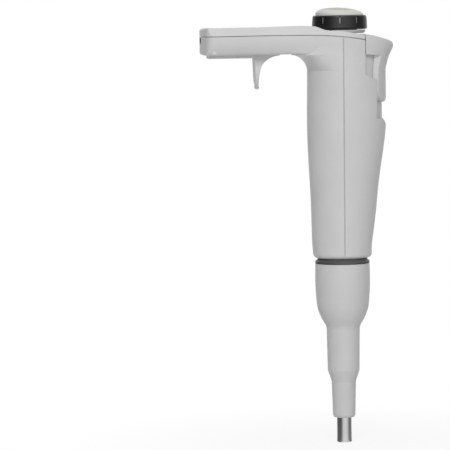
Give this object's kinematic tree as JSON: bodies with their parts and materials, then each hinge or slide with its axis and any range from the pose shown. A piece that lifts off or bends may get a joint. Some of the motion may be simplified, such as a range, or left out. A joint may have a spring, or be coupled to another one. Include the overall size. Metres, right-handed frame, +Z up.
{
  "type": "electronic pipette",
  "caption": "Hand-held electronic pipette with a display arm, finger hook, turning ring, push button, thumb ejector and steel nozzle.",
  "frame": {"origin": "on the nozzle's axis at the lower end of the wall that seals in a tip", "axes": "+Z up along the nozzle's axis towards the push button; the arm reaches towards -X and the ejector lever is at +X"},
  "size_m": [0.0909, 0.0384, 0.205],
  "materials": {
    "shell_grey": "fine satin moulding",
    "ring_black": "satin black",
    "seal_dark": "matt dark grey",
    "dome_white": "semi-gloss off-white",
    "dome_green": "semi-gloss pale green",
    "nozzle_steel": "polished, turned",
    "steel": "bright",
    "screen_dark": "glossy dark window",
    "display_grey": "grey display",
    "key_grey": "satin grey",
    "rubber_grey": "matt",
    "board_green": "solder mask",
    "contact_gold": "gold plated",
    "motor_steel": "plated can",
    "magnet": "plated magnet",
    "brass": "turned",
    "ptfe_white": "waxy white",
    "inner_plastic": "moulded",
    "battery_blue": "shrink sleeve",
    "plate_metal": "milled",
    "flex_orange": "polyimide ribbon",
    "chip_black": "moulded chip"
  },
  "bodies": {
    "housing": {"front_housing": "shell_grey", "rear_housing": "shell_grey", "top_cover": "shell_grey", "display_window": "screen_dark", "finger_hook": "shell_grey", "charge_contacts": "contact_gold", "main_board": "board_green", "display_module": "display_grey", "usb_socket": "steel", "key_mat": "rubber_grey", "flex_cable": "flex_orange", "battery_pack": "battery_blue", "button_switch": "chip_black", "ring_sensor": "chip_black", "home_sensor": "chip_black", "ring_bush": "inner_plastic", "ring_retainer": "steel", "union_ring": "seal_dark", "lower_frame": "shell_grey", "frame_nut": "brass", "lower_plate": "plate_metal", "motor_plate": "plate_metal", "guide_rods": "steel", "motor_can": "motor_steel", "motor_bushes": "brass", "motor_screws": "steel", "cylinder": "inner_plastic", "nozzle": "nozzle_steel", "piston_seal": "ptfe_white", "seal_o_ring": "seal_dark", "seal_washer": "steel", "seal_spring": "steel", "seal_retainer": "inner_plastic", "housing_screws": "steel", "cover_screws": "steel", "board_screws": "steel", "rail_screws": "steel"},
    "adjust_ring": {"adjust_ring": "ring_black", "ring_magnet": "magnet"},
    "push_button": {"button_cap": "dome_white", "button_insert": "dome_green", "button_stem": "inner_plastic", "button_spring": "steel"},
    "ejector": {"thumb_lever": "shell_grey", "ejector_rod": "steel", "ejector_clip": "steel", "ejector_spring": "steel", "ejector_sleeve": "shell_grey"},
    "lead_screw": {"lead_screw": "steel", "motor_rotor": "magnet"},
    "piston": {"carriage": "inner_plastic", "drive_nut": "brass", "piston_rod": "steel", "plunger": "nozzle_steel"},
    "key_1": {"key_1": "key_grey"},
    "key_2": {"key_2": "key_grey"},
    "key_3": {"key_3": "key_grey"}
  },
  "joints": [
    {"name": "ring_turn", "type": "hinge", "parent": "housing", "child": "adjust_ring", "pos_m": [0, 0, 0.197], "axis": [0, 0, 1], "continuous": true},
    {"name": "button_press", "type": "slide", "parent": "housing", "child": "push_button", "axis": [0, 0, -1], "range_m": [0, 0.003], "stiffness_N_per_m": 400, "springref_m": -0.001, "deforming": ["button_spring"]},
    {"name": "eject", "type": "slide", "parent": "housing", "child": "ejector", "axis": [0, 0, -1], "range_m": [0, 0.007], "stiffness_N_per_m": 500, "springref_m": -0.003, "deforming": ["ejector_spring"]},
    {"name": "screw_turn", "type": "hinge", "parent": "housing", "child": "lead_screw", "pos_m": [0, 0, 0.12], "axis": [0, 0, 1], "range_deg": [0, 3240]},
    {"name": "piston_lift", "type": "slide", "parent": "housing", "child": "piston", "axis": [0, 0, 1], "range_m": [0, 0.018]},
    {"name": "key_1_press", "type": "slide", "parent": "housing", "child": "key_1", "axis": [0, 0, -1], "range_m": [0, 0.0005], "stiffness_N_per_m": 800, "springref_m": -0.0002},
    {"name": "key_2_press", "type": "slide", "parent": "housing", "child": "key_2", "axis": [0, 0, -1], "range_m": [0, 0.0005], "stiffness_N_per_m": 800, "springref_m": -0.0002},
    {"name": "key_3_press", "type": "slide", "parent": "housing", "child": "key_3", "axis": [0, 0, -1], "range_m": [0, 0.0005], "stiffness_N_per_m": 800, "springref_m": -0.0002}
  ],
  "couplings": [
    {"joint": "screw_turn", "follows": "piston_lift", "rad_per_m": 3141.6}
  ]
}
